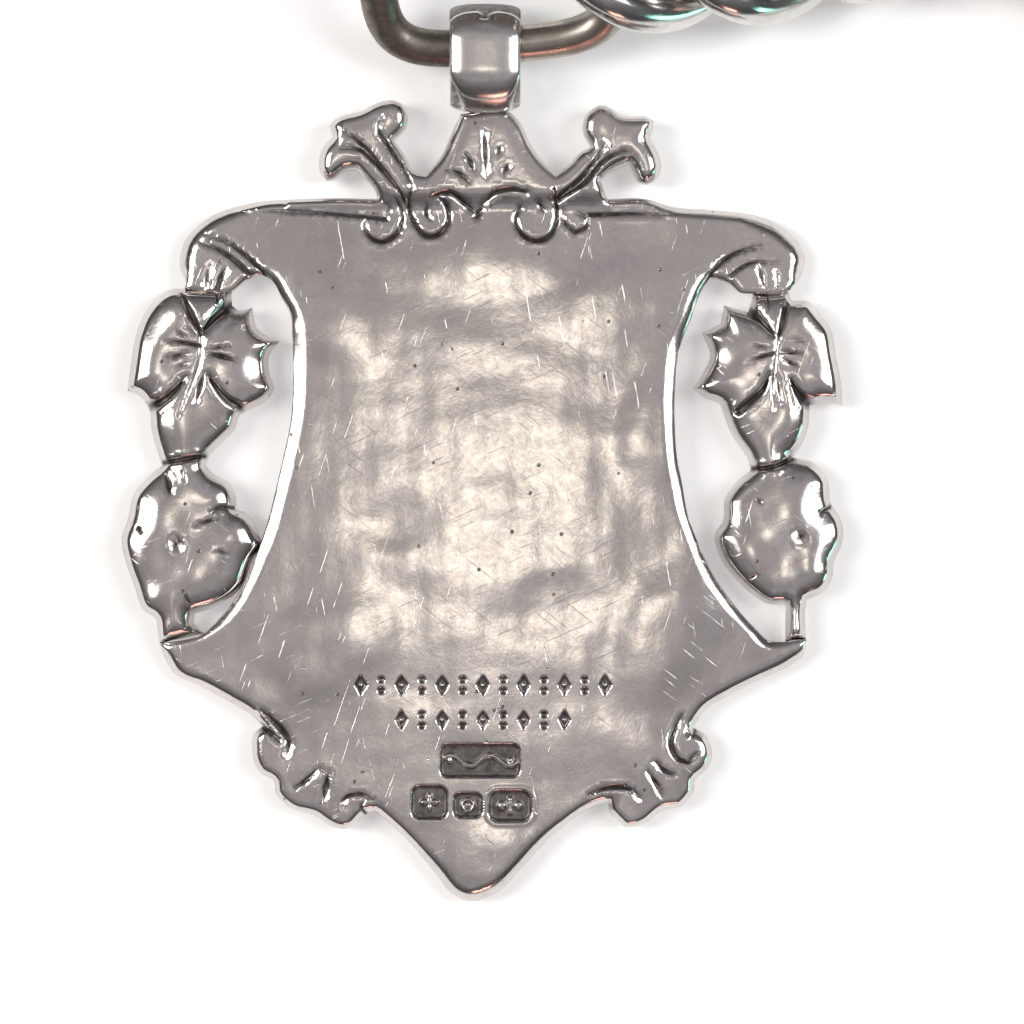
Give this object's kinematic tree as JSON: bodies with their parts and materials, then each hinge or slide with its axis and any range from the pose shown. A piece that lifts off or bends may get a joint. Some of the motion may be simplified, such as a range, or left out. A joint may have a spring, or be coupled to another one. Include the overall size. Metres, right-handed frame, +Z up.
{
  "type": "pocket watch chain",
  "caption": "Silver curb-link pocket watch chain with a pierced shield fob, a T-bar and a sprung swivel clip.",
  "frame": {"origin": "centre of the fob's front disc, on the plane it rests on", "axes": "+Z up out of the fob's reverse side, +Y from the fob's point towards its bail, +X to the right seen from the reverse side"},
  "size_m": [0.0982, 0.1043, 0.0075],
  "materials": {
    "fob_silver": "aged silver, hand engraved, with dark tarnish in the cuts",
    "chain_silver": "worn polished silver",
    "bright_silver": "polished silver with fine scratches",
    "spring_steel": "drawn spring steel"
  },
  "bodies": {
    "fob": {"shield_plate": "fob_silver", "front_disc": "bright_silver", "left_spray": "fob_silver", "right_spray": "fob_silver", "crest": "fob_silver", "bail": "bright_silver"},
    "drop_ring": {"drop_ring": "chain_silver"},
    "drop_link_1": {"drop_link_1": "chain_silver"},
    "drop_link_2": {"drop_link_2": "chain_silver"},
    "drop_link_3": {"drop_link_3": "chain_silver"},
    "junction_ring": {"junction_ring": "chain_silver"},
    "chain_link_01": {"chain_link_01": "chain_silver"},
    "chain_link_02": {"chain_link_02": "chain_silver"},
    "chain_link_03": {"chain_link_03": "chain_silver"},
    "chain_link_04": {"chain_link_04": "chain_silver"},
    "chain_link_05": {"chain_link_05": "chain_silver"},
    "chain_link_06": {"chain_link_06": "chain_silver"},
    "chain_link_07": {"chain_link_07": "chain_silver"},
    "chain_link_08": {"chain_link_08": "chain_silver"},
    "chain_link_09": {"chain_link_09": "chain_silver"},
    "chain_link_10": {"chain_link_10": "chain_silver"},
    "chain_link_11": {"chain_link_11": "chain_silver"},
    "chain_link_12": {"chain_link_12": "chain_silver"},
    "chain_link_13": {"chain_link_13": "chain_silver"},
    "chain_link_14": {"chain_link_14": "chain_silver"},
    "chain_link_15": {"chain_link_15": "chain_silver"},
    "chain_link_16": {"chain_link_16": "chain_silver"},
    "chain_link_17": {"chain_link_17": "chain_silver"},
    "chain_link_18": {"chain_link_18": "chain_silver"},
    "chain_link_19": {"chain_link_19": "chain_silver"},
    "chain_link_20": {"chain_link_20": "chain_silver"},
    "chain_link_21": {"chain_link_21": "chain_silver"},
    "chain_link_22": {"chain_link_22": "chain_silver"},
    "chain_link_23": {"chain_link_23": "chain_silver"},
    "chain_link_24": {"chain_link_24": "chain_silver"},
    "chain_link_25": {"chain_link_25": "chain_silver"},
    "chain_link_26": {"chain_link_26": "chain_silver"},
    "tbar_link_1": {"tbar_link_1": "chain_silver"},
    "tbar_link_2": {"tbar_link_2": "chain_silver"},
    "t_bar": {"t_bar": "bright_silver", "t_bar_collar": "bright_silver"},
    "swivel_bow": {"swivel_bow": "bright_silver"},
    "clip": {"clip_body": "bright_silver", "lever_rivet": "spring_steel", "lever_spring": "spring_steel"},
    "lever": {"clip_lever": "bright_silver"}
  },
  "joints": [
    {"name": "drop_ring_swing", "type": "hinge", "parent": "fob", "child": "drop_ring", "pos_m": [0, 0.0195, 0.00205], "axis": [0.9954, 0.0958, 0], "range_deg": [-110, 40]},
    {"name": "drop_link_1_swing", "type": "hinge", "parent": "drop_ring", "child": "drop_link_1", "pos_m": [0.00543, 0.02303, 0.00452], "axis": [-0.0956, 0.8154, 0.5709], "range_deg": [-25, 12]},
    {"name": "drop_link_2_swing", "type": "hinge", "parent": "drop_link_1", "child": "drop_link_2", "pos_m": [0.00961, 0.02314, 0.00409], "axis": [0.1715, 0.0272, 0.9848], "range_deg": [-20, 4]},
    {"name": "drop_link_3_swing", "type": "hinge", "parent": "drop_link_2", "child": "drop_link_3", "pos_m": [0.01455, 0.02393, 0.00321], "axis": [-0.2924, 0.9563, 0], "range_deg": [-5, 10]},
    {"name": "junction_ring_swing", "type": "hinge", "parent": "drop_link_3", "child": "junction_ring", "pos_m": [0.01874, 0.02521, 0.00259], "axis": [-0.2924, 0.9563, 0], "range_deg": [-12, 24]},
    {"name": "tbar_link_1_swing", "type": "hinge", "parent": "junction_ring", "child": "tbar_link_1", "pos_m": [0.02666, 0.02359, 0.00259], "axis": [0.6428, 0.766, 0], "range_deg": [-18, 18]},
    {"name": "tbar_link_2_swing", "type": "hinge", "parent": "tbar_link_1", "child": "tbar_link_2", "pos_m": [0.02965, 0.02109, 0.00252], "axis": [0.0296, -0.0185, 0.9994], "range_deg": [-16, 3]},
    {"name": "t_bar_swing", "type": "hinge", "parent": "tbar_link_2", "child": "t_bar", "pos_m": [0.03246, 0.01933, 0.00241], "axis": [0, 0, 1], "range_deg": [-18, 30]},
    {"name": "swivel_bow_swing", "type": "hinge", "parent": "chain_link_26", "child": "swivel_bow", "pos_m": [-0.04378, 0.05574, 0.00231], "axis": [0.7261, -0.128, -0.6756], "range_deg": [-20, 20]},
    {"name": "clip_swivel", "type": "hinge", "parent": "swivel_bow", "child": "clip", "pos_m": [-0.04507, 0.04845, 0.00231], "axis": [-0.1736, -0.9848, 0], "continuous": true},
    {"name": "lever_hinge", "type": "hinge", "parent": "clip", "child": "lever", "pos_m": [-0.04907, 0.04306, 0.00231], "axis": [0, 0, 1], "range_deg": [0, 25]},
    {"name": "chain_link_01_swing", "type": "hinge", "parent": "junction_ring", "child": "chain_link_01", "pos_m": [0.02471, 0.03087, 0.00259], "axis": [-0.9397, 0.342, 0], "range_deg": [-18, 18]},
    {"name": "chain_link_02_swing", "type": "hinge", "parent": "chain_link_01", "child": "chain_link_02", "pos_m": [0.02622, 0.03503, 0.00259], "axis": [0.0056, 0.0256, 0.9997], "range_deg": [-16, 3]},
    {"name": "chain_link_03_swing", "type": "hinge", "parent": "chain_link_02", "child": "chain_link_03", "pos_m": [0.02731, 0.03999, 0.00246], "axis": [-0.9965, 0.0837, 0], "range_deg": [-6, 8]},
    {"name": "chain_link_04_swing", "type": "hinge", "parent": "chain_link_03", "child": "chain_link_04", "pos_m": [0.02774, 0.04505, 0.00228], "axis": [0.0017, -0.0349, -0.9994], "range_deg": [-11, 24]},
    {"name": "chain_link_05_swing", "type": "hinge", "parent": "chain_link_04", "child": "chain_link_05", "pos_m": [0.02749, 0.05012, 0.00211], "axis": [0.9836, 0.1805, 0], "range_deg": [-15, 15]},
    {"name": "chain_link_06_swing", "type": "hinge", "parent": "chain_link_05", "child": "chain_link_06", "pos_m": [0.02657, 0.05511, 0.00206], "axis": [0, 0, 1], "range_deg": [-24, 12]},
    {"name": "chain_link_07_swing", "type": "hinge", "parent": "chain_link_06", "child": "chain_link_07", "pos_m": [0.025, 0.05994, 0.00206], "axis": [-0.9018, -0.4321, 0], "range_deg": [-15, 15]},
    {"name": "chain_link_08_swing", "type": "hinge", "parent": "chain_link_07", "child": "chain_link_08", "pos_m": [0.02281, 0.06453, 0.00206], "axis": [0, 0, -1], "range_deg": [-12, 24]},
    {"name": "chain_link_09_swing", "type": "hinge", "parent": "chain_link_08", "child": "chain_link_09", "pos_m": [0.02003, 0.06878, 0.00206], "axis": [0.757, 0.6534, 0], "range_deg": [-15, 15]},
    {"name": "chain_link_10_swing", "type": "hinge", "parent": "chain_link_09", "child": "chain_link_10", "pos_m": [0.01671, 0.07262, 0.00206], "axis": [0, 0, 1], "range_deg": [-24, 12]},
    {"name": "chain_link_11_swing", "type": "hinge", "parent": "chain_link_10", "child": "chain_link_11", "pos_m": [0.01291, 0.07599, 0.00206], "axis": [-0.5592, -0.829, 0], "range_deg": [-15, 15]},
    {"name": "chain_link_12_swing", "type": "hinge", "parent": "chain_link_11", "child": "chain_link_12", "pos_m": [0.0087, 0.07884, 0.00206], "axis": [0, 0, -1], "range_deg": [-12, 24]},
    {"name": "chain_link_13_swing", "type": "hinge", "parent": "chain_link_12", "child": "chain_link_13", "pos_m": [0.00415, 0.0811, 0.00206], "axis": [0.3223, 0.9466, 0], "range_deg": [-15, 15]},
    {"name": "chain_link_14_swing", "type": "hinge", "parent": "chain_link_13", "child": "chain_link_14", "pos_m": [-0.00059, 0.08271, 0.00206], "axis": [0, 0, 1], "range_deg": [-24, 12]},
    {"name": "chain_link_15_swing", "type": "hinge", "parent": "chain_link_14", "child": "chain_link_15", "pos_m": [-0.00543, 0.08367, 0.00206], "axis": [-0.0628, -0.998, 0], "range_deg": [-15, 15]},
    {"name": "chain_link_16_swing", "type": "hinge", "parent": "chain_link_15", "child": "chain_link_16", "pos_m": [-0.01027, 0.08397, 0.00206], "axis": [0, 0, -1], "range_deg": [-12, 24]},
    {"name": "chain_link_17_swing", "type": "hinge", "parent": "chain_link_16", "child": "chain_link_17", "pos_m": [-0.01504, 0.08364, 0.00206], "axis": [-0.2011, 0.9796, 0], "range_deg": [-15, 15]},
    {"name": "chain_link_18_swing", "type": "hinge", "parent": "chain_link_17", "child": "chain_link_18", "pos_m": [-0.01965, 0.08269, 0.00206], "axis": [0, 0, 1], "range_deg": [-24, 12]},
    {"name": "chain_link_19_swing", "type": "hinge", "parent": "chain_link_18", "child": "chain_link_19", "pos_m": [-0.02403, 0.08117, 0.00206], "axis": [0.4509, -0.8926, 0], "range_deg": [-15, 15]},
    {"name": "chain_link_20_swing", "type": "hinge", "parent": "chain_link_19", "child": "chain_link_20", "pos_m": [-0.02809, 0.07911, 0.00206], "axis": [0, 0, -1], "range_deg": [-12, 24]},
    {"name": "chain_link_21_swing", "type": "hinge", "parent": "chain_link_20", "child": "chain_link_21", "pos_m": [-0.03179, 0.07658, 0.00206], "axis": [-0.6691, 0.7431, 0], "range_deg": [-15, 15]},
    {"name": "chain_link_22_swing", "type": "hinge", "parent": "chain_link_21", "child": "chain_link_22", "pos_m": [-0.03506, 0.07363, 0.00206], "axis": [0, 0, 1], "range_deg": [-24, 12]},
    {"name": "chain_link_23_swing", "type": "hinge", "parent": "chain_link_22", "child": "chain_link_23", "pos_m": [-0.03787, 0.07033, 0.00206], "axis": [0.8406, -0.5417, 0], "range_deg": [-15, 15]},
    {"name": "chain_link_24_swing", "type": "hinge", "parent": "chain_link_23", "child": "chain_link_24", "pos_m": [-0.04018, 0.06676, 0.00214], "axis": [-0.0074, -0.0158, -0.9998], "range_deg": [-12, 24]},
    {"name": "chain_link_25_swing", "type": "hinge", "parent": "chain_link_24", "child": "chain_link_25", "pos_m": [-0.04196, 0.06297, 0.00221], "axis": [-0.9532, 0.3024, 0], "range_deg": [-15, 15]},
    {"name": "chain_link_26_swing", "type": "hinge", "parent": "chain_link_25", "child": "chain_link_26", "pos_m": [-0.0432, 0.05906, 0.00228], "axis": [0.003, 0.0172, 0.9998], "range_deg": [-24, 12]}
  ]
}
